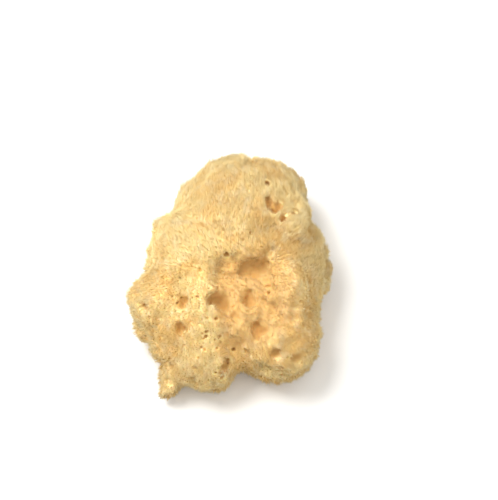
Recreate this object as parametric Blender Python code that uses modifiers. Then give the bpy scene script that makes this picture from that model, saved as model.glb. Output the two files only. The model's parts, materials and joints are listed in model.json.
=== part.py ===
"""A natural sea sponge, trimmed flat where it grew on the rock and resting on that cut.

Metres, +Z up. The origin is the middle of the sponge's box, at the level of the cut.
+Y is the sponge's long direction, from its broad foot towards its crown.
"""

import math
import random

import bmesh
import bpy
from mathutils import Matrix, Vector

MM = 0.001

# The driving sizes: the finished skin is brought to exactly these.
WIDTH = 85 * MM
LENGTH = 99 * MM
HEIGHT = 54 * MM

# Places and half sizes below are in millimetres, in a sponge of those sizes.
# Each lobe is a rounded lump of growth: the place of its middle, then its half sizes.
LOBES = {
    "core": ((0, 0, 16), (30, 37, 21.5)),
    "crown": ((4, 21.5, 25), (26, 29.5, 28)),
    "brow": ((6, 11, 28.5), (21, 14.5, 21.5)),
    "hollow_floor": ((5, -19, 20), (15, 18, 19)),
    "crown_left": ((-11.5, 31, 18), (13, 12.5, 22)),
    "crown_right": ((20, 35, 17), (12, 17, 21)),
    "left_shoulder": ((-14.5, 8, 23), (20, 20, 27)),
    "right_shoulder": ((21, 13, 25), (15, 19, 24)),
    "left_lobe": ((-26, -11, 17), (16, 17, 20)),
    "left_flank": ((-18.5, -23, 13), (14, 14, 20)),
    "left_foot": ((-25, -40, 8), (5, 10, 10)),
    "bottom_lobe": ((-9, -32, 14), (14, 14, 19)),
    "right_foot": ((18.5, -26.5, 17), (18.5, 16.5, 21)),
    "right_flank": ((26.5, 6, 17), (14.5, 22, 20)),
    "right_waist": ((24, -12, 16), (13.5, 15, 18)),
    "right_ridge": ((23, -8, 29), (9, 23, 15)),
    "left_ridge": ((-10, -13, 31), (9, 20, 14)),
}

# The mouths of the sponge's water canals that face up, from the crown down to the foot:
# place across and along, half width, half length, depth below the skin, turn in degrees.
TOP_PITS = {
    "crown_dot": (14.7, 31.0, 1.4, 1.4, 4, 0),
    "crown_dot_right": (22.0, 28.0, 1.4, 1.3, 4, 0),
    "crown_mouth": (15.8, 21.5, 3.0, 2.0, 5, 20),
    "crown_mouth_right": (19.8, 20.5, 2.1, 1.6, 4, -30),
    "crown_mouth_low": (21.2, 16.5, 1.9, 1.5, 5, 10),
    "crown_dent": (26.5, 23.5, 1.7, 2.8, 3, 10),
    "shoulder_dimple": (-9.3, 0.2, 1.7, 1.3, 3, 0),
    "shoulder_dimple_left": (-17.7, -6.8, 1.5, 1.2, 3, 0),
    "brow_slit": (14.2, 1.5, 2.6, 1.2, 5, 25),
    "brow_cave": (10.8, -2.8, 4.8, 3.6, 11, 0),
    "brow_cave_left": (5.6, -4.2, 3.2, 2.6, 8, 0),
    "left_cave": (-3.2, -17.2, 3.3, 4.9, 9, 10),
    "middle_cave": (8.6, -14.5, 3.9, 3.2, 7, -10),
    "middle_dent": (3.0, -23.5, 3.0, 2.0, 4, 15),
    "low_cave": (10.6, -26.5, 3.5, 2.9, 7, -20),
    "low_cave_right": (14.9, -28.5, 2.0, 1.6, 4, 0),
    "foot_mouth": (17.7, -37.0, 2.5, 1.9, 5, -10),
    "flank_dot": (29.6, -4.0, 1.3, 1.3, 3, 0),
    "ridge_dot": (26.3, -29.0, 1.4, 1.4, 4, 0),
    "lobe_mouth": (-18.9, -15.6, 2.4, 1.5, 4, -10),
    "lobe_mouth_low": (-20.3, -26.0, 2.0, 2.7, 5, 10),
}

# Smaller mouths all round the sides, and canals that the trimming cut open underneath.
SIDE_PITS = 44
SIDE_PIT_HALF_WIDTHS = (1.4, 3.0)
SIDE_PIT_SPACING = 7.5
SIDE_PIT_HEIGHTS = (6, 34)
SIDE_PIT_DEEPNESS = (1.2, 2.0)
PIT_ROUNDNESS = (0.7, 1.3)
CUT_CANALS = 13
CUT_CANAL_HALF_WIDTHS = (1.6, 3.6)
CUT_CANAL_SPACING = 10
CUT_CANAL_REACH = (22, 32)
CUT_CANAL_DEPTHS = (4, 8)
CUT_CANAL_LEAN = 0.3
SEED = 7

# How far a mouth on top leans from the skin's own direction towards straight up.
UPRIGHT = 1.5

# How the skin is made: lobes are fused, eased, swollen into lumps and knobs, pitted and eased again.
FUSE_GRAIN = 1.7 * MM
PIT_GRAIN = 0.7 * MM
SKIN_GRAIN = 1.1 * MM
EASE_STRENGTH = 0.5
EASE_LOBES = 16
EASE_SKIN = 1
LOBE_FINENESS = 4
PIT_FINENESS = 3
LUMP_SIZE = 11 * MM
LUMP_RISE = 6 * MM
KNOB_SIZE = 4.0 * MM
KNOB_RISE = 2.8 * MM
RIM_SIZE = 2.6 * MM
RIM_RISE = 1.4 * MM
FACES_WANTED = 9600
SLAB_SIDE = 200 * MM
SHARP_ANGLE = math.radians(60)

# Pale golden spongin, bleached and dry.
SPONGE_COLOUR = (0.82, 0.55, 0.22, 1.0)
SPONGE_ROUGHNESS = 0.92


def clear_scene():
    for thing in list(bpy.data.objects):
        bpy.data.objects.remove(thing, do_unlink=True)


def new_collection(name):
    made = bpy.data.collections.new(name)
    bpy.context.scene.collection.children.link(made)
    return made


def new_object(name, mesh, collection):
    made = bpy.data.objects.new(name, mesh)
    collection.objects.link(made)
    return made


def mesh_of_ellipsoids(name, placed, fineness):
    """One mesh of round shells. Each is (matrix that turns and places it, its three half sizes)."""
    shells = bmesh.new()
    for place, half_sizes in placed:
        stretch = Matrix.Diagonal((*half_sizes, 1.0))
        bmesh.ops.create_icosphere(
            shells, subdivisions=fineness, radius=1.0, matrix=place @ stretch
        )
    mesh = bpy.data.meshes.new(name)
    shells.to_mesh(mesh)
    shells.free()
    return mesh


def cloud_texture(name, size):
    texture = bpy.data.textures.new(name, "CLOUDS")
    texture.noise_scale = size
    texture.noise_depth = 1
    return texture


def add_remesh(thing, grain):
    fuse = thing.modifiers.new("fuse", "REMESH")
    fuse.mode = "VOXEL"
    fuse.voxel_size = grain


def add_smooth(thing, times):
    ease = thing.modifiers.new("ease", "SMOOTH")
    ease.factor = EASE_STRENGTH
    ease.iterations = times


def add_lumps(thing, name, size, rise):
    swell = thing.modifiers.new(name, "DISPLACE")
    swell.texture = cloud_texture(name, size)
    swell.texture_coords = "LOCAL"
    swell.strength = rise
    swell.mid_level = 0.5


def add_cut(thing, name, cutter):
    cut = thing.modifiers.new(name, "BOOLEAN")
    cut.operation = "DIFFERENCE"
    cut.object = cutter


def lobe_height(across, along):
    """Height of the fused lobes over a place, in millimetres, and the way that the skin faces there."""
    best, facing = 0.0, Vector((0, 0, 1))
    for middle, half in LOBES.values():
        reach = ((across - middle[0]) / half[0]) ** 2 + ((along - middle[1]) / half[1]) ** 2
        if reach >= 1:
            continue
        height = middle[2] + half[2] * math.sqrt(1 - reach)
        if height > best:
            best = height
            offset = Vector((across, along, height)) - Vector(middle)
            facing = Vector([offset[i] / half[i] ** 2 for i in range(3)]).normalized()
    return best, facing


def inside_a_lobe(point, but):
    """True if a point, in millimetres, lies in any lobe other than the named one."""
    for name, (middle, half) in LOBES.items():
        if name != but and sum(((point[i] - middle[i]) / half[i]) ** 2 for i in range(3)) < 1:
            return True
    return False


def far_from(point, others, spacing):
    return all((point - other).length > spacing for other in others)


def pit(point, facing, half_width, half_length, depth, turn):
    """A canal mouth: an ellipsoid that opens at a point of the skin, square to it."""
    stand = facing.to_track_quat("Z", "Y").to_matrix().to_4x4()
    place = Matrix.Translation(point * MM) @ stand @ Matrix.Rotation(math.radians(turn), 4, "Z")
    return place, (half_width * MM, half_length * MM, depth * MM)


def top_pits():
    """The mouths that face up, and the points where they open."""
    made, points = [], []
    for across, along, half_width, half_length, depth, turn in TOP_PITS.values():
        height, facing = lobe_height(across, along)
        point = Vector((across, along, height))
        leaning = (facing + Vector((0, 0, UPRIGHT))).normalized()
        made.append(pit(point, leaning, half_width, half_length, depth, turn))
        points.append(point)
    return made, points


def side_pits(dice, taken):
    """Mouths scattered over the sides of the lobes, clear of each other and of the points taken."""
    made, points = [], list(taken)
    names = sorted(LOBES)
    while len(made) < SIDE_PITS:
        name = dice.choice(names)
        middle, half = LOBES[name]
        way = Vector([dice.gauss(0, 1) for _ in range(3)]).normalized()
        point = Vector([middle[i] + half[i] * way[i] for i in range(3)])
        low, high = SIDE_PIT_HEIGHTS
        if not low < point.z < high or inside_a_lobe(point, name):
            continue
        if not far_from(point, points, SIDE_PIT_SPACING):
            continue
        facing = Vector([way[i] / half[i] for i in range(3)]).normalized()
        half_width = dice.uniform(*SIDE_PIT_HALF_WIDTHS)
        half_length = half_width * dice.uniform(*PIT_ROUNDNESS)
        depth = half_width * dice.uniform(*SIDE_PIT_DEEPNESS)
        made.append(pit(point, facing, half_width, half_length, depth, dice.uniform(0, 180)))
        points.append(point)
    return made


def cut_canals(dice):
    """Canals that run up into the sponge from the cut."""
    made, points = [], []
    while len(made) < CUT_CANALS:
        point = Vector([dice.uniform(-reach, reach) for reach in CUT_CANAL_REACH] + [0.0])
        if not far_from(point, points, CUT_CANAL_SPACING):
            continue
        half_width = dice.uniform(*CUT_CANAL_HALF_WIDTHS)
        half_length = half_width * dice.uniform(*PIT_ROUNDNESS)
        depth = dice.uniform(*CUT_CANAL_DEPTHS)
        lean = [dice.uniform(-CUT_CANAL_LEAN, CUT_CANAL_LEAN) for _ in range(2)]
        down = Vector((*lean, -1)).normalized()
        made.append(pit(point, down, half_width, half_length, depth, dice.uniform(0, 180)))
        points.append(point)
    return made


def pit_cutters(collection):
    dice = random.Random(SEED)
    on_top, points = top_pits()
    placed = on_top + side_pits(dice, points) + cut_canals(dice)
    mesh = mesh_of_ellipsoids("pit_cutters", placed, PIT_FINENESS)
    cutters = new_object("pit_cutters", mesh, collection)
    add_remesh(cutters, PIT_GRAIN)
    return cutters


def base_cutter(collection):
    """A slab whose top is the level at which the sponge was trimmed from the rock."""
    bpy.ops.mesh.primitive_cube_add(size=SLAB_SIDE, location=(0, 0, -SLAB_SIDE / 2))
    slab = bpy.context.object
    slab.name = "base_cutter"
    for old in list(slab.users_collection):
        old.objects.unlink(slab)
    collection.objects.link(slab)
    return slab


def make_helper(thing):
    thing.hide_render = True
    thing.display_type = "WIRE"


def evaluated_mesh(thing):
    graph = bpy.context.evaluated_depsgraph_get()
    return bpy.data.meshes.new_from_object(thing.evaluated_get(graph))


def keep_largest_shell(mesh):
    """Drops crumbs that the pits cut loose."""
    shape = bmesh.new()
    shape.from_mesh(mesh)
    unseen, shells = set(shape.verts), []
    while unseen:
        shell, front = set(), [unseen.pop()]
        while front:
            vertex = front.pop()
            shell.add(vertex)
            for edge in vertex.link_edges:
                other = edge.other_vert(vertex)
                if other in unseen:
                    unseen.discard(other)
                    front.append(other)
        shells.append(shell)
    shells.sort(key=len)
    for crumb in shells[:-1]:
        bmesh.ops.delete(shape, geom=list(crumb), context="VERTS")
    shape.to_mesh(mesh)
    shape.free()


def sponge_skin(collection, cutters):
    """The closed, pitted skin before trimming, with about as many faces as are wanted."""
    placed = [
        (Matrix.Translation(Vector(middle) * MM), [size * MM for size in half])
        for middle, half in LOBES.values()
    ]
    lobes = mesh_of_ellipsoids("rough_sponge", placed, LOBE_FINENESS)
    rough = new_object("rough_sponge", lobes, collection)
    add_remesh(rough, FUSE_GRAIN)
    add_smooth(rough, EASE_LOBES)
    add_lumps(rough, "lumps", LUMP_SIZE, LUMP_RISE)
    add_lumps(rough, "knobs", KNOB_SIZE, KNOB_RISE)
    add_remesh(rough, SKIN_GRAIN)
    add_cut(rough, "pits", cutters)
    add_remesh(rough, SKIN_GRAIN)
    add_smooth(rough, EASE_SKIN)
    add_lumps(rough, "ragged_rims", RIM_SIZE, RIM_RISE)
    mesh = evaluated_mesh(rough)
    make_helper(rough)
    keep_largest_shell(mesh)
    return mesh


def spongin():
    material = bpy.data.materials.new("bleached_spongin")
    material.use_nodes = True
    shader = material.node_tree.nodes["Principled BSDF"]
    shader.inputs["Base Color"].default_value = SPONGE_COLOUR
    shader.inputs["Roughness"].default_value = SPONGE_ROUGHNESS
    shader.inputs["Metallic"].default_value = 0.0
    return material


def bring_to_size(mesh):
    """Centres the trimmed sponge over the origin, and gives its box the driving sizes."""
    places = [vertex.co for vertex in mesh.vertices]
    low = Vector([min(place[i] for place in places) for i in range(3)])
    high = Vector([max(place[i] for place in places) for i in range(3)])
    middle = (low + high) / 2
    size = high - low
    mesh.transform(Matrix.Translation((-middle.x, -middle.y, -low.z)))
    mesh.transform(Matrix.Diagonal((WIDTH / size.x, LENGTH / size.y, HEIGHT / size.z, 1.0)))


def main():
    clear_scene()
    parts = new_collection("sea_sponge")
    helpers = new_collection("cutters")
    cutters = pit_cutters(helpers)
    slab = base_cutter(helpers)
    make_helper(cutters)
    make_helper(slab)

    sponge = new_object("sponge", sponge_skin(helpers, cutters), parts)
    thin = sponge.modifiers.new("thin", "DECIMATE")
    thin.ratio = FACES_WANTED / (2 * len(sponge.data.polygons))
    add_cut(sponge, "trim", slab)
    trimmed = evaluated_mesh(sponge)
    keep_largest_shell(trimmed)
    bring_to_size(trimmed)
    sponge.modifiers.clear()
    sponge.data = trimmed
    sponge.data.materials.append(spongin())
    sponge.data.shade_smooth()
    sponge.data.set_sharp_from_angle(angle=SHARP_ANGLE)


main()
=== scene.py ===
"""Looks of a dry natural sea sponge: its porous body, the combed coat of its fibres, stage and camera.

Everything is in metres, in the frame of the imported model. Sizes that are given in millimetres are
turned to metres once, by MM. The body is made from the frame's solid as a field of distances, which is
eased, roughened and pored before it is meshed; the coat is far over a hundred thousand small tapered
fibres, gathered to the conules, the little cones that stand all over the skin of a bath sponge.
"""

from __future__ import annotations

import copy
import json
import logging
import math
from dataclasses import dataclass, field
from enum import Enum
from typing import Iterable

import bpy
import numpy as np
import openvdb
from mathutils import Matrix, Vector, kdtree

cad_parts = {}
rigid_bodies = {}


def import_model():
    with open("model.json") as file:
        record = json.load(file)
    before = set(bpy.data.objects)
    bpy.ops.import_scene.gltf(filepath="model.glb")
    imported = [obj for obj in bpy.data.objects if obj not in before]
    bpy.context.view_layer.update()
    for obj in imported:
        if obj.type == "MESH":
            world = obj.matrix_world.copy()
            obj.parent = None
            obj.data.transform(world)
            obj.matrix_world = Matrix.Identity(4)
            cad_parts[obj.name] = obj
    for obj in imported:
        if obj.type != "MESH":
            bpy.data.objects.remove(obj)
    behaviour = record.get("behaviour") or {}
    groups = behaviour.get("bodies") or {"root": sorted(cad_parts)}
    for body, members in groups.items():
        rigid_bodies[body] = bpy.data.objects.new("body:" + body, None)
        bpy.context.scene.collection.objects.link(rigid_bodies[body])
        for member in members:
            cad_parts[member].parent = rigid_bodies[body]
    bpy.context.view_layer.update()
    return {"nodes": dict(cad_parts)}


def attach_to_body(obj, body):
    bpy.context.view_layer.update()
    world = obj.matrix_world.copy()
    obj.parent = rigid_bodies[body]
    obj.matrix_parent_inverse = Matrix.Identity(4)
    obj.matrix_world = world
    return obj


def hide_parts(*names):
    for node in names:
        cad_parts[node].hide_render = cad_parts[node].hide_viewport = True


LOG = logging.getLogger("sea_sponge")
MM = 0.001
NODE = "sponge"
BODY = "root"

# A patch fades out between these shares of its reach.
PATCH_FADES = 0.58
PATCH_ENDS = 1.08

# How far a pore's outline strays as a share of its width, and how long a stray is in millimetres.
STRAY = 0.38
STRAY_LENGTH = 1.1

# A spike has three points at its root and one at its tip, and this marks the tip.
AT_TIP = (0.0, 0.0, 0.0, 1.0)

# The corners of a cell, as steps along each axis.
CELL_CORNERS = tuple((corner & 1, corner >> 1 & 1, corner >> 2 & 1) for corner in range(8))

# A field is read up to just short of its last point, so that there is always a next point.
LAST_POINT = 1.001

Array = np.ndarray


def linear(hex_colour: str) -> tuple[float, float, float, float]:
    """Turns an sRGB colour to linear light.

    Args:
        hex_colour: The colour as six hexadecimal digits.

    Returns:
        Red, green, blue and an alpha of one.
    """
    parts = []
    for start in (0, 2, 4):
        level = int(hex_colour[start:start + 2], 16) / 255
        parts.append(level / 12.92 if level <= 0.04045 else ((level + 0.055) / 1.055) ** 2.4)
    return (parts[0], parts[1], parts[2], 1.0)


def unit(vectors: Array) -> Array:
    """Returns the vectors, one a row, at length one."""
    return vectors / np.maximum(np.linalg.norm(vectors, axis=-1, keepdims=True), 1e-12)


def smooth_step(low: float, high: float, values: Array) -> Array:
    """Rises smoothly from 0 at low to 1 at high.

    Args:
        low: Where the step starts.
        high: Where it ends.
        values: The values to step.

    Returns:
        One number from 0 to 1 for each value.
    """
    share = np.clip((values - low) / (high - low), 0.0, 1.0)
    return share * share * (3.0 - 2.0 * share)


def soft_most(first: Array, second: Array, blend: float | Array) -> Array:
    """Takes the larger of two values, and rounds off the step from one to the other.

    Args:
        first: The first values.
        second: The second values.
        blend: How far apart they are where the rounding starts.

    Returns:
        The larger ones, a little more where the two are near each other.
    """
    mix = np.clip(0.5 + 0.5 * (second - first) / blend, 0.0, 1.0)
    return first * (1.0 - mix) + second * mix + blend * mix * (1.0 - mix)


def steepness(ways: Array, steep: float = 0.2, level: float = 0.65) -> Array:
    """Says how steeply the skin stands.

    Args:
        ways: The ways out of the skin, at length one.
        steep: The upward part of the way at which the skin counts as steep.
        level: The upward part at which it no longer does.

    Returns:
        1 where the skin is steep, down to 0 where it is level, for each way.
    """
    return 1.0 - smooth_step(steep, level, ways[:, 2])


@dataclass(frozen=True)
class Patch:
    """An oval patch of the sponge as it is seen from above, across and along, in millimetres."""

    middle: tuple[float, float]
    reach: tuple[float, float]

    def at(self, places: Array) -> Array:
        """Marks the patch.

        Args:
            places: Points in millimetres, one a row.

        Returns:
            1 well inside the patch, down to 0 outside it, for each point.
        """
        across, along = ((places[:, i] - self.middle[i]) / self.reach[i] for i in range(2))
        return 1.0 - smooth_step(PATCH_FADES, PATCH_ENDS, np.hypot(across, along))


class Noise:
    """Seeded lattice noise in space, from -1 to 1."""

    SIDE = 64

    def __init__(self, seed: int) -> None:
        """Fills the lattice.

        Args:
            seed: Gives the same noise each run.
        """
        dice = np.random.default_rng(seed)
        self.lattice = dice.uniform(-1.0, 1.0, (self.SIDE,) * 3).astype(np.float32)

    def at(self, places: Array, cell: float) -> Array:
        """Reads the noise.

        Args:
            places: Points, one a row, in any unit.
            cell: Size of a lump of the noise, in the same unit.

        Returns:
            One number for each point.
        """
        scaled = places / cell
        whole = np.floor(scaled).astype(np.int64)
        share = (scaled - whole).astype(np.float32)
        share = share * share * (3.0 - 2.0 * share)
        total = np.zeros(len(places), np.float32)
        for offset in CELL_CORNERS:
            index = [(whole[:, i] + offset[i]) % self.SIDE for i in range(3)]
            weight = np.ones(len(places), np.float32)
            for i in range(3):
                weight *= share[:, i] if offset[i] else 1.0 - share[:, i]
            total += weight * self.lattice[index[0], index[1], index[2]]
        return total


def nearest_of(places: Array, points: Array) -> Array:
    """Finds which of many places is the nearest to each point.

    Args:
        places: The places, one a row.
        points: The points, one a row.

    Returns:
        The number of a place, for each point.
    """
    tree = kdtree.KDTree(len(places))
    for index, place in enumerate(places):
        tree.insert(Vector(place), index)
    tree.balance()
    return np.array([tree.find(Vector(point))[1] for point in points])


class Region(Enum):
    """Parts of the sponge, of equal area, each with a coat of its own."""

    CROWN = "crown"
    LEFT = "left"
    RIGHT = "right"
    FOOT = "foot"


@dataclass(frozen=True)
class Growth:
    """How the sponge grew: where its fibres spring from, and where it is combed, open or fine-pored.

    Places are in millimetres in the frame. The fibres of such a sponge run outwards from the heart of
    the growth, which here lies under the brow of the hollow. The cave under the brow is a shallow
    scoop, and the speckled patch is the fine-pored lower left. Each ragged mouth is a place across and
    along and a half width: the openings where the crown is torn, some of which run into each other.
    """

    heart: tuple[float, float, float] = (4.0, -8.0, 8.0)
    hollow: Patch = Patch((10.0, -18.0), (20.0, 21.0))
    brow_cave: Patch = Patch((9.0, -3.0), (12.0, 10.0))
    speckled: Patch = Patch((-16.0, -28.0), (20.0, 17.0))
    torn: Patch = Patch((19.0, 19.5), (8.0, 13.0))
    crown_starts: float = -10.0
    crown_full: float = 2.0
    foot_level: float = 22.0
    ragged_mouths: tuple[tuple[float, float, float], ...] = (
        (14.8, 29.4, 1.4),
        (15.0, 18.8, 1.3),
        (17.4, 17.8, 1.8),
        (19.4, 18.8, 1.2),
        (21.0, 14.0, 1.6),
        (22.2, 25.8, 1.1),
        (25.6, 16.8, 1.0),
    )

    def outwards(self, places: Array) -> Array:
        """Returns the way out from the heart at each place, at length one."""
        return unit(places - np.array(self.heart, np.float32))

    def on_crown(self, places: Array) -> Array:
        """Returns 1 over the combed crown, and 0 over the foot."""
        return smooth_step(self.crown_starts, self.crown_full, places[:, 1])

    def near_foot(self, places: Array) -> Array:
        """Returns 1 at the cut, and 0 from the level where the foot ends."""
        return 1.0 - smooth_step(0.0, self.foot_level, places[:, 2])


def triangles_of(thing: bpy.types.Object) -> tuple[Array, Array]:
    """Reads a mesh object as welded triangles.

    Args:
        thing: The object, which stands at the origin.

    Returns:
        Its points in millimetres, and three indices for each triangle.
    """
    mesh = thing.data
    mesh.calc_loop_triangles()
    ends = np.zeros(len(mesh.loop_triangles) * 3, np.int32)
    mesh.loop_triangles.foreach_get("vertices", ends)
    welded, index = np.unique(np.round(points_of(thing), 4), axis=0, return_inverse=True)
    triangles = index.reshape(-1)[ends].reshape(-1, 3)
    real = (triangles[:, 0] != triangles[:, 1]) & (triangles[:, 1] != triangles[:, 2])
    real &= triangles[:, 2] != triangles[:, 0]
    return welded.astype(np.float32), triangles[real].astype(np.uint32)


@dataclass
class DistanceField:
    """Distances to a surface, in millimetres, on a grid of points. Inside is negative."""

    grain: float
    reach: float
    low: Array = field(init=False)
    values: Array = field(init=False)

    def read(self, points: Array, triangles: Array) -> DistanceField:
        """Fills the field from a closed mesh.

        Args:
            points: The mesh's points, in millimetres.
            triangles: Three indices for each triangle.

        Returns:
            The field itself.
        """
        transform = openvdb.createLinearTransform(self.grain)
        grid = openvdb.FloatGrid.createLevelSetFromPolygons(
            points, triangles=triangles, transform=transform, halfWidth=self.reach / self.grain
        )
        low, high = grid.evalActiveVoxelBoundingBox()
        self.low = np.array(low)
        self.values = np.zeros([high[i] - low[i] + 1 for i in range(3)], np.float32)
        grid.copyToArray(self.values, ijk=low)
        return self

    def ease(self, times: int) -> None:
        """Blurs the field a little, so that facets become a smooth skin.

        Args:
            times: How many light passes.
        """
        for _ in range(times):
            for axis in range(3):
                edge = np.pad(self.values, [(1, 1) if i == axis else (0, 0) for i in range(3)], "edge")
                before = np.take(edge, range(0, self.values.shape[axis]), axis)
                after = np.take(edge, range(2, self.values.shape[axis] + 2), axis)
                self.values = 0.25 * before + 0.5 * self.values + 0.25 * after

    def near(self, distance: float) -> tuple[Array, Array]:
        """Finds the grid's points close to the surface.

        Args:
            distance: How close, in millimetres.

        Returns:
            Their indices in the flat field, and their places in millimetres.
        """
        index = np.flatnonzero(np.abs(self.values.ravel()) < distance)
        cells = np.stack(np.unravel_index(index, self.values.shape), 1)
        return index, ((cells + self.low) * self.grain).astype(np.float32)

    def at(self, places: Array) -> Array:
        """Reads the field between its points.

        Args:
            places: Points in millimetres.

        Returns:
            One distance for each.
        """
        cells = places / self.grain - self.low
        top = np.array(self.values.shape) - LAST_POINT
        cells = np.clip(cells, 0.0, top)
        whole = cells.astype(np.int64)
        share = cells - whole
        total = np.zeros(len(places))
        for offset in CELL_CORNERS:
            index = whole + np.array(offset)
            weight = np.prod(np.where(offset, share, 1.0 - share), axis=1)
            total += weight * self.values[index[:, 0], index[:, 1], index[:, 2]]
        return total

    def slope(self, places: Array) -> Array:
        """Finds the way out of the surface.

        Args:
            places: Points in millimetres.

        Returns:
            The way at each, at length one.
        """
        sides = []
        for axis in range(3):
            offset = np.zeros(3)
            offset[axis] = self.grain
            sides.append(self.at(places + offset) - self.at(places - offset))
        return unit(np.stack(sides, 1))

    def on_grid_of(self, other: DistanceField) -> Array:
        """Reads the field at every point of another field's grid.

        Args:
            other: The other field.

        Returns:
            The distances, in the shape of the other field.
        """
        values = self.values
        for axis in range(3):
            cells = (np.arange(other.values.shape[axis]) + other.low[axis]) * other.grain / self.grain
            cells = np.clip(cells - self.low[axis], 0.0, values.shape[axis] - LAST_POINT)
            whole = cells.astype(int)
            share = (cells - whole).astype(np.float32).reshape([-1 if i == axis else 1 for i in range(3)])
            values = values.take(whole, axis) * (1.0 - share) + values.take(whole + 1, axis) * share
        return values

    def carve(self, place: Array, way: Array, half_width: float, depth: float, blend: float,
              ragged: Noise) -> None:
        """Cuts one pore: a round-ended hole with an uneven outline, long along its own way.

        Args:
            place: The middle of its mouth, in millimetres.
            way: The way out of it, at length one.
            half_width: Half of its width.
            depth: How deep it goes.
            blend: How softly its rim rolls over.
            ragged: Noise that makes its outline uneven.
        """
        span = max(half_width, depth) + 2.0 * blend
        first = np.floor((place - span) / self.grain).astype(int) - self.low
        last = np.ceil((place + span) / self.grain).astype(int) - self.low + 1
        first = np.maximum(first, 0)
        last = np.minimum(last, self.values.shape)
        if np.any(last <= first):
            return
        axes = [(np.arange(first[i], last[i]) + self.low[i]) * self.grain - place[i] for i in range(3)]
        away = np.stack(np.meshgrid(*axes, indexing="ij"), -1)
        along = away @ way
        aside = np.sqrt(np.maximum((away * away).sum(-1) - along * along, 0.0))
        shape = np.hypot(aside / half_width, along / depth)
        there = (away + place).reshape(-1, 3)
        shape = shape * (1.0 + STRAY * ragged.at(there, STRAY_LENGTH).reshape(shape.shape))
        hole = (1.0 - shape) * half_width
        block = tuple(slice(first[i], last[i]) for i in range(3))
        self.values[block] = soft_most(self.values[block], hole, blend)

    def trim(self, level: float) -> None:
        """Cuts the surface off flat below a level.

        Args:
            level: The level, in millimetres.
        """
        heights = (np.arange(self.values.shape[2]) + self.low[2]) * self.grain
        self.values = np.maximum(self.values, (level - heights)[None, None, :])

    def mesh(self, distance: float = 0.0) -> tuple[Array, Array]:
        """Meshes the field where it has one value.

        Args:
            distance: That value, in millimetres.

        Returns:
            Points in millimetres, and four indices for each face, which face outwards.
        """
        grid = openvdb.FloatGrid(self.reach)
        grid.copyFromArray(self.values, ijk=tuple(int(i) for i in self.low))
        grid.transform = openvdb.createLinearTransform(self.grain)
        points, quads = grid.convertToQuads(isovalue=distance)
        return points, quads[:, ::-1]


def new_piece(name: str, points: Array, faces: Array) -> bpy.types.Object:
    """Makes a smooth-shaded mesh object from arrays.

    Args:
        name: The piece's name.
        points: Points in millimetres.
        faces: Three or four indices for each face.

    Returns:
        The new object, in the scene.
    """
    mesh = bpy.data.meshes.new(name)
    sides = faces.shape[1]
    mesh.vertices.add(len(points))
    mesh.vertices.foreach_set("co", (points * MM).astype(np.float32).ravel())
    mesh.loops.add(faces.size)
    mesh.loops.foreach_set("vertex_index", faces.astype(np.int32).ravel())
    mesh.polygons.add(len(faces))
    mesh.polygons.foreach_set("loop_start", np.arange(0, faces.size, sides, dtype=np.int32))
    mesh.polygons.foreach_set("loop_total", np.full(len(faces), sides, np.int32))
    mesh.polygons.foreach_set("use_smooth", np.ones(len(faces), bool))
    mesh.update(calc_edges=True)
    mesh.validate()
    thing = bpy.data.objects.new(name, mesh)
    bpy.context.scene.collection.objects.link(thing)
    return thing


def set_attributes(thing: bpy.types.Object, **values: Array) -> None:
    """Stores numbers for each point of a piece, for its material.

    Args:
        thing: The piece.
        **values: For each attribute, one number for each point.
    """
    for name, numbers in values.items():
        attribute = thing.data.attributes.new(name, "FLOAT", "POINT")
        attribute.data.foreach_set("value", numbers.astype(np.float32))


def points_of(thing: bpy.types.Object) -> Array:
    """Reads a piece's points.

    Args:
        thing: The piece.

    Returns:
        Its points in millimetres, one a row.
    """
    places = np.zeros(len(thing.data.vertices) * 3, np.float32)
    thing.data.vertices.foreach_get("co", places)
    return places.reshape(-1, 3) / MM


def add_node(tree: bpy.types.NodeTree, kind: str, settings: dict | None = None,
             **sockets: object) -> bpy.types.Node:
    """Adds a node, with its settings and what goes into its sockets.

    Args:
        tree: The material's node tree.
        kind: The node's type.
        settings: Properties of the node itself.
        **sockets: For each input, a value or an output to link. Spaces in names are underscores, and
            a name such as i6 is the input of that number.

    Returns:
        The node.
    """
    node = tree.nodes.new(kind)
    for name, value in (settings or {}).items():
        setattr(node, name, value)
    for name, value in sockets.items():
        key = int(name[1:]) if name[0] == "i" and name[1:].isdigit() else name.replace("_", " ")
        if isinstance(value, bpy.types.NodeSocket):
            tree.links.new(value, node.inputs[key])
        else:
            node.inputs[key].default_value = value
    return node


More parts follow.
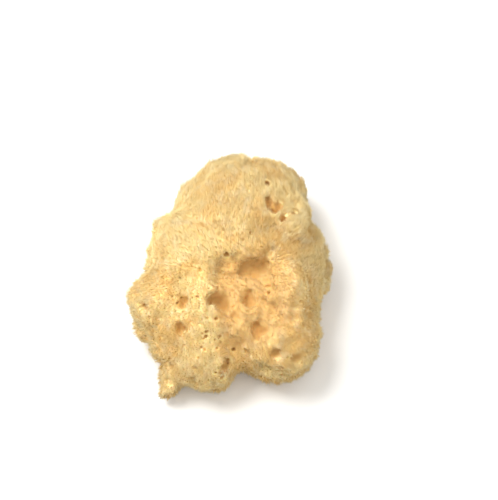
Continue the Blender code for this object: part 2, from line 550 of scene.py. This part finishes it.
@dataclass(frozen=True)
class BleachedSpongin:
    """Spongin, the horny protein of a bath sponge's skeleton, washed, bleached and dry.

    Bleaching leaves it pale straw gold where light reaches it. Where light goes in and out of many
    fibres before it comes back, as in pits, pores and canals, it is painted orange brown as painted
    shade. It is matt, and the body has a soft glow where light passes through it; a single fibre is too
    thin to glow by itself. The bleach fades it in broad stains, a lump at a time in mottle, and unevenly
    along single fibres, which is drawn as grain: a real fibre is a thirtieth as wide as the grain here,
    and would be too fine to show. The hollow and the skin near the cut are painted tan as painted shade,
    and the fibres carry painted shade at their roots under paler tips.
    """

    straw: str = "F8E0A2"
    pale: str = "FCEEC6"
    honey: str = "F2CF88"
    canal: str = "D9AF6C"
    depth: str = "C6924E"
    roughness: float = 0.88
    glow: float = 0.35
    glow_reach_mm: tuple[float, float, float] = (2.2, 1.1, 0.45)
    stain_mm: float = 17.0
    mottle_mm: float = 4.5
    grain_mm: float = 0.9
    pattern_detail: float = 3.0
    pattern_roughness: float = 0.55
    bump_mm: float = 0.25
    bump_strength: float = 0.7
    gleam: float = 0.25
    body_fuzz: float = 0.15
    fibre_fuzz: float = 0.05
    fuzz_roughness: float = 0.6

    def material(self, name: str, on_fibres: bool) -> bpy.types.Material:
        """Makes the finish.

        Args:
            name: The material's name.
            on_fibres: Whether it is for the coat, whose tips are paler over painted shade at the roots, or
                for the body.

        Returns:
            The material.
        """
        material = bpy.data.materials.new(name)
        material.use_nodes = True
        tree = material.node_tree
        shader = tree.nodes["Principled BSDF"]
        place = add_node(tree, "ShaderNodeTexCoord").outputs["Object"]
        patterns = {}
        sizes_mm = {"stain": self.stain_mm, "mottle": self.mottle_mm, "grain": self.grain_mm}
        for pattern, size_mm in sizes_mm.items():
            noise = add_node(tree, "ShaderNodeTexNoise", Vector=place, Scale=1.0 / (size_mm * MM),
                             Detail=self.pattern_detail, Roughness=self.pattern_roughness)
            patterns[pattern] = noise.outputs["Fac"]
        for attribute in ("cavity", "open", "foot", "lock", "tip"):
            read = add_node(tree, "ShaderNodeAttribute", {"attribute_name": attribute})
            patterns[attribute] = read.outputs["Fac"]
        # Each layer is laid over those before it: its pattern, where it starts and ends, and how strongly.
        layers = [
            ("stain", 0.40, 0.64, 1.0, self.honey),
            ("mottle", 0.46, 0.70, 0.55, self.pale),
            ("grain", 0.50, 0.80, 0.22, self.honey),
            # Painted shade: the open layer paints the hollow tan, and the foot layer darkens the skin to
            # tan near the floor.
            ("open", 0.0, 1.0, 0.76, self.canal),
            ("foot", 0.0, 1.0, 0.36, self.canal),
            ("lock", 0.2, 1.0, 0.26, self.honey),
            # Painted shade: the two cavity layers darken pits, pores and canals to tan and then orange
            # brown.
            ("cavity", 0.02, 0.34, 1.0, self.canal),
            ("cavity", 0.34, 0.9, 1.0, self.depth),
            # Painted shade at the fibre roots: the tip layer makes each fibre paler towards its tip.
            ("tip", 0.3, 1.0, 0.14, self.pale),
        ]
        colour = linear(self.straw)
        for pattern, low, high, most, over in layers:
            share = add_node(tree, "ShaderNodeMapRange", {"interpolation_type": "SMOOTHSTEP"},
                             Value=patterns[pattern], From_Min=low, From_Max=high, To_Max=most)
            layer = add_node(tree, "ShaderNodeMix", {"data_type": "RGBA"}, i0=share.outputs["Result"],
                             i6=colour, i7=linear(over))
            colour = layer.outputs[2]
        tree.links.new(colour, shader.inputs["Base Color"])
        if not on_fibres:
            bump = add_node(tree, "ShaderNodeBump", Height=patterns["grain"],
                            Distance=self.bump_mm * MM, Strength=self.bump_strength)
            tree.links.new(bump.outputs["Normal"], shader.inputs["Normal"])
        inputs = {
            "Roughness": self.roughness,
            "Specular IOR Level": self.gleam,
            "Subsurface Weight": 0.0 if on_fibres else self.glow,
            "Subsurface Radius": self.glow_reach_mm,
            "Subsurface Scale": MM,
            "Sheen Weight": self.fibre_fuzz if on_fibres else self.body_fuzz,
            "Sheen Roughness": self.fuzz_roughness,
            "Sheen Tint": linear(self.pale),
        }
        for socket, value in inputs.items():
            shader.inputs[socket].default_value = value
        return material


@dataclass
class SpongeBody:
    """The porous body under the coat of fibres. Sizes are in millimetres.

    What lumps, knobs and streaks have for the hollow, the crown, the foot or steep skin is how much of
    their rise is added or left there; what pores have is their chance. Deepness is depth over half
    width, and a canal's walls start and end at values of cavity.
    """

    growth: Growth
    finish: BleachedSpongin
    grain: float = 0.4
    reach: float = 3.2
    ease_passes: int = 8
    under_coat: float = 0.9
    faces_most: int = 196_000
    roughened_reach: float = 0.9
    lump_size: float = 5.5
    lump_rise: float = 0.5
    lumps_in_hollow: float = 0.8
    lumps_on_crown: float = -0.35
    knob_size: float = 2.4
    knob_rise: float = 0.32
    knobs_all_over: float = 0.85
    knobs_in_hollow: float = 1.15
    knobs_on_crown: float = -0.5
    knobs_on_steep: float = 1.75
    knob_shift: float = 50.0
    streak_radius: float = 36.0
    streak_width: float = 1.2
    streak_length: float = 6.0
    streak_drift: tuple[float, float, float] = (0.6, -0.5, 0.62)
    streak_rise: float = 0.28
    streaks_at_foot: float = 0.35
    streaks_on_crown: float = 0.65
    streaks_in_hollow: float = -0.8
    pit_floor: float = 5.0
    pit_floor_blend: float = 1.7
    brow_cave_rise: float = 1.7
    pores: int = 330
    pores_all_over: float = 0.3
    pores_in_hollow: float = -0.14
    pores_speckled: float = 0.9
    pores_on_crown: float = -0.22
    pores_patchy: float = 0.35
    pore_patches: float = 7.0
    least_chance: float = 0.02
    pore_half_widths: tuple[float, float] = (0.35, 0.8)
    pore_width_power: float = 1.2
    pore_width_more: float = 0.1
    pore_deepness: tuple[float, float] = (1.5, 2.5)
    rim_blend: float = 0.3
    canal_pores: int = 10
    canal_half_widths: tuple[float, float] = (0.35, 0.75)
    canal_walls_start: tuple[float, float] = (0.02, 0.15)
    canal_walls_end: tuple[float, float] = (0.5, 0.9)
    canal_level: float = 1.5
    side_pores: int = 230
    side_half_widths: tuple[float, float] = (0.5, 1.6)
    side_levels: tuple[float, float] = (3.0, 6.0)
    side_slopes: tuple[float, float] = (0.25, 0.6)
    sides_all_over: float = 0.35
    mouth_deepness: float = 2.4
    cavity_starts: float = 0.5
    cavity_depth: float = 6.0
    pore_starts: float = 0.1
    pore_depth_full: float = 1.1
    pore_shade: float = 0.3
    inner_shade: float = 0.55
    inner_depths: tuple[float, float] = (0.5, 2.4)
    closing: float = 4.5
    closing_grain: float = 0.8
    closed_reach: float = 9.0
    search_heights: tuple[float, float] = (70.0, 5.0)
    seed: int = 11

    def build(self, solid: bpy.types.Object) -> bpy.types.Object:
        """Makes the body's mesh.

        Args:
            solid: The frame's solid of the sponge.

        Returns:
            The piece.
        """
        points, triangles = triangles_of(solid)
        self.skin = DistanceField(self.grain, self.reach).read(points, triangles)
        self.closed = self._close(points, triangles)
        self._floor_pits()
        self.skin.ease(self.ease_passes)
        self._roughen()
        self.unpored = copy.deepcopy(self.skin)
        self._pore()
        self.skin.trim(0.0)
        points, quads = self.skin.mesh()
        body = self._thin(new_piece("sponge_body", points, quads))
        places = points_of(body)
        # Painted shade: cavity darkens the skin in pits, pores and canals, open paints the hollow tan, and
        # foot darkens the skin near the floor.
        inner = smooth_step(*self.inner_depths, -self.unpored.at(places))
        shade = self.pore_shade * self.pore_depth(places) + self.inner_shade * inner
        set_attributes(body, cavity=np.maximum(self.cavity(places), shade),
                       open=self.growth.hollow.at(places), foot=self.growth.near_foot(places))
        body.data.materials.append(self.finish.material("spongin_body", False))
        return body

    def cavity(self, places: Array) -> Array:
        """Says how deep places lie in pits and canals.

        Args:
            places: Points in millimetres.

        Returns:
            0 on the open skin to 1 at 6.5 mm below it, or at 3.5 mm where the skin is torn.
        """
        below = (-self.closed.at(places) - self.under_coat - self.cavity_starts) / self.cavity_depth
        return np.clip(below * (1.0 + self.growth.torn.at(places)), 0.0, 1.0)

    def mouth_depth(self, places: Array) -> Array:
        """Says how much further the skin is than the covered skin: the drop where a mouth gapes below."""
        return self.skin.at(places) - self.closed.at(places) - self.under_coat

    def pore_depth(self, places: Array) -> Array:
        """Says how deep places lie in small pores, from 0 on the skin to 1 at 1.2 mm below it."""
        below = -self.unpored.at(places) - self.pore_starts
        return np.clip(below / self.pore_depth_full, 0.0, 1.0)

    def _close(self, points: Array, triangles: Array) -> DistanceField:
        """Fills the pits of the solid over.

        Args:
            points: The solid's points, in millimetres.
            triangles: Three indices for each triangle.

        Returns:
            The field of the solid without its pits.
        """
        coarse = self.closing_grain
        wide = DistanceField(coarse, self.closing + 3 * coarse).read(points, triangles)
        swollen, quads = wide.mesh(self.closing)
        split = np.concatenate([quads[:, [0, 1, 2]], quads[:, [0, 2, 3]]]).astype(np.uint32)
        shell = DistanceField(coarse, self.closing + self.closed_reach).read(swollen, split)
        shell.values += self.closing
        return shell

    def _floor_pits(self) -> None:
        """Gives deep pits a floor: a few millimetres in, a real canal turns and branches out of sight.

        The cave under the brow is shallower than the others, and its floor rolls softly over its rim.
        """
        shape = self.skin.values.shape
        axes = [(np.arange(shape[axis]) + self.skin.low[axis]) * self.grain for axis in range(2)]
        plan = np.stack(np.meshgrid(*axes, indexing="ij"), -1).reshape(-1, 2)
        brow = self.growth.brow_cave.at(plan).astype(np.float32).reshape(shape[0], shape[1], 1)
        floor = self.closed.on_grid_of(self.skin) + self.pit_floor - self.brow_cave_rise * brow
        blend = self.pit_floor_blend * (1.0 + brow)
        self.skin.values = -soft_most(-self.skin.values, -floor, blend)

    def _roughen(self) -> None:
        """Adds lumps, knobs and the combed ridges to the skin, and sinks it under the coat."""
        index, places = self.skin.near(self.reach * self.roughened_reach)
        noise = Noise(self.seed)
        ridges = Noise(self.seed + 1)
        crown = self.growth.on_crown(places)
        hollow = self.growth.hollow.at(places)
        heart = np.array(self.growth.heart, np.float32)
        away = np.linalg.norm(places - heart, axis=1, keepdims=True)
        turned = self.growth.outwards(places) * self.streak_radius
        drift = away / self.streak_length * np.array(self.streak_drift, np.float32) * self.streak_width
        streak = ridges.at(turned + drift, self.streak_width)
        lumps = self.lump_rise * (1.0 + self.lumps_in_hollow * hollow + self.lumps_on_crown * crown)
        rise = lumps * noise.at(places, self.lump_size)
        steep = steepness(self.skin.slope(places))
        knobs = self.knobs_all_over + self.knobs_in_hollow * hollow
        knobs = knobs + self.knobs_on_crown * crown * (1.0 - steep) + self.knobs_on_steep * steep
        rise += self.knob_rise * knobs * noise.at(places + self.knob_shift, self.knob_size)
        streaks = self.streak_rise * (self.streaks_at_foot + self.streaks_on_crown * crown)
        rise += streaks * (1.0 + self.streaks_in_hollow * hollow) * streak
        self.skin.values.ravel()[index] -= rise.astype(np.float32)
        self.skin.values += self.under_coat

    def _pore(self) -> None:
        """Opens small pores: few on the combed crown, more on the speckled side and the steep sides."""
        dice = np.random.default_rng(self.seed + 2)
        points, quads = self.skin.mesh()
        middles = points[quads].mean(1)
        crown = self.growth.on_crown(middles)
        hollow = self.growth.hollow.at(middles)
        speckle = self.growth.speckled.at(middles)
        uneven = Noise(self.seed + 3).at(middles, self.pore_patches)
        wanted = self.pores_all_over + self.pores_in_hollow * hollow
        wanted = wanted + self.pores_speckled * speckle * (1.0 - hollow)
        wanted = wanted + self.pores_on_crown * crown + self.pores_patchy * uneven
        wanted = np.clip(wanted, self.least_chance, None)
        chosen = dice.choice(len(middles), self.pores, replace=False, p=wanted / wanted.sum())
        widths = dice.uniform(*self.pore_half_widths, self.pores) ** self.pore_width_power
        deep = self.cavity(middles)
        # A canal's pores open on its walls, neither at its mouth nor on its floor.
        wanted = smooth_step(*self.canal_walls_start, deep)
        wanted = wanted * (1.0 - smooth_step(*self.canal_walls_end, deep))
        wanted = wanted * (middles[:, 2] > self.canal_level)
        canal = dice.choice(len(middles), self.canal_pores, replace=False, p=wanted / wanted.sum())
        steep = steepness(self.skin.slope(middles), *self.side_slopes)
        above = smooth_step(*self.side_levels, middles[:, 2])
        wanted = steep * above * np.clip(self.sides_all_over + uneven, self.least_chance, None)
        side = dice.choice(len(middles), self.side_pores, replace=False, p=wanted / wanted.sum())
        mouths = self._ragged_mouths()
        narrow, wide = self.side_half_widths
        self.pore_places = np.concatenate([middles[chosen], middles[canal], middles[side], mouths])
        self.pore_widths = np.concatenate([
            widths + self.pore_width_more,
            dice.uniform(*self.canal_half_widths, self.canal_pores),
            narrow + (wide - narrow) * dice.uniform(0.0, 1.0, self.side_pores) ** 2,
            [mouth[2] for mouth in self.growth.ragged_mouths],
        ])
        ways = self.skin.slope(self.pore_places)
        self.pore_ways = ways
        deepness = dice.uniform(*self.pore_deepness, len(self.pore_places))
        deepness[-len(mouths):] = self.mouth_deepness
        ways[-len(mouths):] = unit(ways[-len(mouths):] + np.array((0.0, 0.0, 1.0)))
        ragged = Noise(self.seed + 4)
        for place, way, width, depth in zip(self.pore_places, ways, self.pore_widths, deepness):
            self.skin.carve(place, way, float(width), float(width * depth), self.rim_blend, ragged)

    def _ragged_mouths(self) -> Array:
        """Finds where the ragged mouths open, at the level of the skin around them.

        Returns:
            Their places in millimetres.
        """
        heights = np.arange(*self.search_heights, -0.5 * self.grain)
        places = []
        for across, along, _ in self.growth.ragged_mouths:
            column = np.stack([np.full(len(heights), across), np.full(len(heights), along), heights], 1)
            under = np.flatnonzero(self.closed.at(column) < -self.under_coat)
            places.append(column[under[0]])
        return np.array(places)

    def _thin(self, body: bpy.types.Object) -> bpy.types.Object:
        """Brings the body under its number of faces.

        Args:
            body: The piece.

        Returns:
            The same piece, with its new mesh.
        """
        thin = body.modifiers.new("thin", "DECIMATE")
        thin.ratio = min(1.0, self.faces_most / (2 * len(body.data.polygons)))
        graph = bpy.context.evaluated_depsgraph_get()
        mesh = bpy.data.meshes.new_from_object(body.evaluated_get(graph))
        body.modifiers.clear()
        body.data = mesh
        return body


@dataclass
class FibreCoat:
    """The coat that makes the sponge look like combed velvet. Sizes are in millimetres.

    A real fibre is about 0.03 mm thick and too fine to show, so each one here stands for a bundle.
    The bundles gather into locks, and each lock stands on a conule, a small stiff cone of the skin:
    the conules give the outline its fine teeth. The lengths for parts of the skin are how much of the
    length is left or added there.
    """

    growth: Growth
    finish: BleachedSpongin
    fibres_each: int = 44_000
    conules_each: int = 5_400
    length: float = 4.2
    width: float = 0.11
    conule_length: float = 1.9
    conule_width: float = 0.75
    fine_conule_width: float = 0.22
    combed_lean: float = 66.0
    open_lean: float = 32.0
    lock_pull: float = 0.32
    combed_lock_pull: float = 0.2
    pull_spread: tuple[float, float] = (0.5, 1.0)
    pull_ends: tuple[float, float] = (0.1, 0.5)
    lock_width: float = 0.25
    wander: float = 0.11
    conule_wander: float = 0.16
    swirl: float = 0.2
    swirl_size: float = 13.0
    combed_evenness: float = 0.8
    evenness_at_foot: float = 0.5
    lean_spread: tuple[float, float] = (0.8, 1.1)
    upright_share: float = 0.14
    upright_lean: float = 0.3
    upright_length: float = 0.7
    length_at_foot: float = 0.72
    length_on_crown: float = 0.28
    length_in_hollow: float = -0.5
    length_in_pits: float = -0.7
    length_on_steep: float = 0.48
    length_on_level: float = 0.52
    level_slopes: tuple[float, float] = (0.0, 0.7)
    length_spread: tuple[float, float] = (0.65, 1.15)
    shortest_conule: float = 0.35
    conule_on_steep: float = 0.35
    wide_in_hollow: float = 0.28
    width_spread: tuple[float, float] = (0.7, 1.3)
    rooted: float = 0.3
    root_scatter: float = 0.16
    conule_scatter: float = 0.2
    lowest_root: float = 0.6
    lowest_tip: float = 0.05
    bare_pore: float = 0.3
    mouth_margin: float = 0.1
    mouth_reach: float = 2.5
    mouth_drop: float = 0.8
    cropped: float = 0.3
    seed: int = 23

    def build(self, body: SpongeBody, piece: bpy.types.Object) -> list[bpy.types.Object]:
        """Grows the coat out of the body.

        Args:
            body: The body, whose field gives the way out of the skin.
            piece: The body's own piece, on whose faces the fibres stand.

        Returns:
            One piece for each region.
        """
        dice = np.random.default_rng(self.seed)
        middles, areas = self._faces(piece)
        areas = areas * (middles[:, 2] > self.lowest_root) * (body.pore_depth(middles) < self.bare_pore)
        regions = self._regions(middles, areas)
        material = self.finish.material("spongin_fibres", True)
        pieces = []
        for region in Region:
            here = np.flatnonzero(regions == region)
            chance = areas[here] / areas[here].sum()
            conules = middles[dice.choice(here, self.conules_each, p=chance)]
            conules = conules + dice.normal(0.0, self.conule_scatter, conules.shape)
            roots = middles[dice.choice(here, self.fibres_each, p=chance)]
            roots = roots + dice.normal(0.0, self.root_scatter, roots.shape)
            coat = self._grow(f"{region.value}_fibres", roots, conules, body, dice)
            coat.data.materials.append(material)
            pieces.append(coat)
        return pieces

    def _faces(self, piece: bpy.types.Object) -> tuple[Array, Array]:
        """Reads a piece's faces.

        Args:
            piece: The piece.

        Returns:
            Their middles in millimetres, and their areas in square millimetres.
        """
        count = len(piece.data.polygons)
        middles = np.zeros(count * 3, np.float32)
        piece.data.polygons.foreach_get("center", middles)
        areas = np.zeros(count, np.float32)
        piece.data.polygons.foreach_get("area", areas)
        return middles.reshape(-1, 3) / MM, areas.astype(float) / MM ** 2

    def _regions(self, places: Array, areas: Array) -> Array:
        """Shares the skin out among the regions, with the same area in each, so that the coat is even.

        Args:
            places: The middles of the skin's faces, in millimetres.
            areas: How much skin there is at each.

        Returns:
            The region of each face.
        """
        regions = np.full(len(places), Region.LEFT, object)
        along = np.argsort(places[:, 1])
        share = np.cumsum(areas[along]) / areas.sum()
        regions[along[share < 0.25]] = Region.FOOT
        regions[along[share >= 0.75]] = Region.CROWN
        between = along[(share >= 0.25) & (share < 0.75)]
        across = between[np.argsort(places[between, 0])]
        share = np.cumsum(areas[across]) / areas[across].sum()
        regions[across[share >= 0.5]] = Region.RIGHT
        return regions

    def _comb(self, roots: Array, body: SpongeBody, dice: np.random.Generator,
              wander: float) -> tuple[Array, Array]:
        """Finds which way the coat grows, and how long it is.

        Args:
            roots: Where it is asked for, in millimetres.
            body: The body that it stands on.
            dice: The source of chance.
            wander: How far each fibre strays from the way of its neighbours.

        Returns:
            The way at each root at length one, and the length as a share of the coat's own.
        """
        count = len(roots)
        crown = self.growth.on_crown(roots)
        hollow = self.growth.hollow.at(roots)
        even = self.evenness_at_foot + (1.0 - self.evenness_at_foot) * crown
        even = (self.combed_evenness * even * (1.0 - hollow))[:, None]
        out = unit(body.skin.slope(roots) * (1.0 - even) + body.closed.slope(roots) * even)
        swirl = np.stack([Noise(self.seed + 5 + i).at(roots, self.swirl_size) for i in range(3)], 1)
        flow = self.growth.outwards(roots) + self.swirl * swirl
        flow = unit(flow - (flow * out).sum(1, keepdims=True) * out)
        lean = self.open_lean + (self.combed_lean - self.open_lean) * crown * (1.0 - hollow)
        upright = dice.uniform(0.0, 1.0, count) < self.upright_share
        lean = lean * np.where(upright, self.upright_lean, dice.uniform(*self.lean_spread, count))
        lean = np.radians(lean)[:, None]
        way = unit(np.cos(lean) * out + np.sin(lean) * flow + dice.normal(0.0, wander, (count, 3)))
        share = self.length_at_foot + self.length_on_crown * crown
        share *= 1.0 + self.length_in_hollow * hollow
        share *= 1.0 + self.length_in_pits * body.cavity(roots)
        level = smooth_step(*self.level_slopes, out[:, 2])
        share *= self.length_on_steep + self.length_on_level * level
        share *= np.where(upright, self.upright_length, 1.0)
        return way, share * dice.uniform(*self.length_spread, count)

    def _grow(self, name: str, roots: Array, conules: Array, body: SpongeBody,
              dice: np.random.Generator) -> bpy.types.Object:
        """Makes one region's coat.

        Args:
            name: The piece's name.
            roots: Where the fibres stand.
            conules: Where the conules stand.
            body: The body that they stand on.
            dice: The source of chance.

        Returns:
            The piece.
        """
        way, share = self._comb(conules, body, dice, self.conule_wander)
        lock_tips = conules + way * (self.length * share)[:, None]
        steep = steepness(body.closed.slope(conules))
        tall = self.shortest_conule + (1.0 - self.shortest_conule) * share + self.conule_on_steep * steep
        peaks = conules + way * (self.conule_length * tall)[:, None]
        way, share = self._comb(roots, body, dice, self.wander)
        tips = roots + way * (self.length * share)[:, None]
        lock = nearest_of(conules, roots)
        gathered = lock_tips[lock] + self.lock_width * (roots - conules[lock])
        pull = self.lock_pull + (self.combed_lock_pull - self.lock_pull) * self.growth.on_crown(roots)
        pull = pull * dice.uniform(*self.pull_spread, len(roots))
        pull = pull * (1.0 - smooth_step(*self.pull_ends, body.cavity(roots)))
        tips = tips + (gathered - tips) * pull[:, None]
        feet = np.concatenate([roots, conules])
        ends = self._clear_mouths(feet, np.concatenate([tips, peaks]), body)
        ends[:, 2] = np.maximum(ends[:, 2], self.lowest_tip)
        fine = 1.0 - np.maximum(steep, self.wide_in_hollow * self.growth.hollow.at(conules))
        conule_widths = self.conule_width + (self.fine_conule_width - self.conule_width) * fine
        widths = np.concatenate([np.full(len(roots), self.width), conule_widths])
        widths = widths * dice.uniform(*self.width_spread, len(feet))
        points, faces = self._spikes(feet - self.rooted * unit(ends - feet), ends, widths)
        tone = dice.uniform(0.0, 1.0, len(conules))
        coat = new_piece(name, points, faces)
        tones = np.concatenate([tone[lock], tone])
        # Painted shade on the fibres: cavity, open and foot darken them in pits, over the hollow and near
        # the floor, and tip pales each from its shaded root to its tip.
        values = [tones, body.cavity(feet), self.growth.hollow.at(feet), self.growth.near_foot(feet)]
        lock, cavity, hollow, foot = (np.repeat(value, len(AT_TIP)) for value in values)
        tip = np.tile(np.array(AT_TIP), len(feet))
        set_attributes(coat, lock=lock, cavity=cavity, open=hollow, foot=foot, tip=tip)
        return coat

    def _clear_mouths(self, roots: Array, tips: Array, body: SpongeBody) -> Array:
        """Shortens what lies over the mouth of a pore or a canal.

        Args:
            roots: Where the fibres start.
            tips: Where they end.
            body: The body with the mouths.

        Returns:
            The new tips.
        """
        over = np.zeros(len(roots), bool)
        # What is over a mouth at half its length or at its tip is shortened.
        for share in (0.5, 1.0):
            places = roots + share * (tips - roots)
            mouth = nearest_of(body.pore_places, places)
            away = places - body.pore_places[mouth]
            along = (away * body.pore_ways[mouth]).sum(1)
            aside = np.sqrt(np.maximum((away * away).sum(1) - along * along, 0.0))
            within = aside < body.pore_widths[mouth] + self.mouth_margin
            over |= within & (np.abs(along) < self.mouth_reach)
            over |= body.mouth_depth(places) > self.mouth_drop
        return np.where(over[:, None], roots + self.cropped * (tips - roots), tips)

    def _spikes(self, roots: Array, tips: Array, thick: Array) -> tuple[Array, Array]:
        """Makes a closed three-sided spike from each root to its tip.

        Args:
            roots: Where the spikes start.
            tips: Where they end in a point.
            thick: How thick each is at its root.

        Returns:
            The points, and three indices for each face.
        """
        count = len(roots)
        way = unit(tips - roots)
        # Any way will do that a spike hardly ever has.
        side = unit(np.cross(way, np.array((0.31, 0.77, 0.56))))
        other = np.cross(way, side)
        points = np.zeros((count, 4, 3))
        for corner in range(3):
            angle = 2.0 * math.pi * corner / 3
            offset = (math.cos(angle) * side + math.sin(angle) * other) * (0.5 * thick)[:, None]
            points[:, corner] = roots + offset
        points[:, 3] = tips
        shape = np.array([(2, 1, 0), (0, 1, 3), (1, 2, 3), (2, 0, 3)])
        faces = shape[None] + 4 * np.arange(count)[:, None, None]
        return points.reshape(-1, 3), faces.reshape(-1, 3)


@dataclass
class Stage:
    """The plain floor, the soft light and the camera. Sizes are in metres where no name says mm."""

    floor_side: float = 4.0
    floor_colour: str = "F2F1EE"
    floor_roughness: float = 0.9
    key_place: tuple[float, float, float] = (-0.4, 0.2, 0.92)
    key_size: float = 0.45
    key_power: float = 9.4
    fill_place: tuple[float, float, float] = (0.3, -0.2, 1.02)
    fill_size: float = 1.0
    fill_power: float = 3.4
    sky_strength: float = 0.63
    elevation: float = 68.0
    distance: float = 0.65
    target: tuple[float, float, float] = (0.0, 0.0, 0.026)
    shift_right: float = 0.0074
    shift_up: float = 0.00824
    mm_per_pixel: float = 0.41
    frame_pixels: int = 500
    sensor_mm: float = 36.0
    nearest: float = 0.01
    farthest: float = 20.0

    def build(self) -> None:
        """Makes the floor, the lights, the even light from all round and the camera."""
        self._floor()
        self._light("key", self.key_place, self.key_size, self.key_power)
        self._light("fill", self.fill_place, self.fill_size, self.fill_power)
        self._sky()
        self._camera()
        bpy.context.scene.view_settings.view_transform = "Standard"

    def _floor(self) -> None:
        """Makes the floor."""
        side = self.floor_side / 2
        mesh = bpy.data.meshes.new("floor")
        edge = [(-side, -side, 0), (side, -side, 0), (side, side, 0), (-side, side, 0)]
        mesh.from_pydata(edge, [], [(0, 1, 2, 3)])
        floor = bpy.data.objects.new("floor", mesh)
        bpy.context.scene.collection.objects.link(floor)
        material = bpy.data.materials.new("pale_floor")
        material.use_nodes = True
        shader = material.node_tree.nodes["Principled BSDF"]
        shader.inputs["Base Color"].default_value = linear(self.floor_colour)
        shader.inputs["Roughness"].default_value = self.floor_roughness
        mesh.materials.append(material)

    def _light(self, name: str, place: tuple[float, float, float], size: float, power: float) -> None:
        """Hangs a square soft light that faces the sponge.

        Args:
            name: The light's name.
            place: Where it hangs.
            size: The length of its side.
            power: How strong it is, in watts.
        """
        data = bpy.data.lights.new(name, "AREA")
        data.size = size
        data.energy = power
        light = bpy.data.objects.new(name, data)
        light.location = place
        light.rotation_mode = "QUATERNION"
        light.rotation_quaternion = (-Vector(place)).to_track_quat("-Z", "Y")
        bpy.context.scene.collection.objects.link(light)

    def _sky(self) -> None:
        """Sets the even light from all round."""
        world = bpy.data.worlds.new("studio")
        world.use_nodes = True
        sky = world.node_tree.nodes["Background"]
        sky.inputs["Color"].default_value = (1.0, 1.0, 1.0, 1.0)
        sky.inputs["Strength"].default_value = self.sky_strength
        bpy.context.scene.world = world

    def _camera(self) -> None:
        """Places the camera where the sponge is seen as the photograph has it."""
        angle = math.radians(self.elevation)
        right = Vector((1.0, 0.0, 0.0))
        up = Vector((0.0, math.sin(angle), math.cos(angle)))
        forward = Vector((0.0, math.cos(angle), -math.sin(angle)))
        data = bpy.data.cameras.new("camera")
        data.sensor_width = self.sensor_mm
        data.lens = self.distance / (self.mm_per_pixel * MM) / self.frame_pixels * self.sensor_mm
        data.clip_start = self.nearest
        data.clip_end = self.farthest
        camera = bpy.data.objects.new("camera", data)
        camera.location = (
            Vector(self.target) - self.distance * forward + self.shift_right * right + self.shift_up * up
        )
        camera.rotation_mode = "QUATERNION"
        camera.rotation_quaternion = forward.to_track_quat("-Z", "Y")
        bpy.context.scene.collection.objects.link(camera)
        bpy.context.scene.camera = camera


def attach(pieces: Iterable[bpy.types.Object]) -> None:
    """Makes the pieces ride on the body.

    Args:
        pieces: The pieces.
    """
    for piece in pieces:
        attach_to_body(piece, BODY)
        LOG.info("%s: %d faces", piece.name, len(piece.data.polygons))


def main() -> None:
    """Builds the sponge's looks around the frame."""
    logging.basicConfig(level=logging.INFO, format="%(message)s")
    for thing in list(bpy.data.objects):
        bpy.data.objects.remove(thing, do_unlink=True)
    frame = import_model()
    growth = Growth()
    finish = BleachedSpongin()
    body = SpongeBody(growth, finish)
    piece = body.build(frame["nodes"][NODE])
    coat = FibreCoat(growth, finish).build(body, piece)
    attach([piece, *coat])
    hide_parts(NODE)
    Stage().build()


if __name__ == "__main__":
    main()
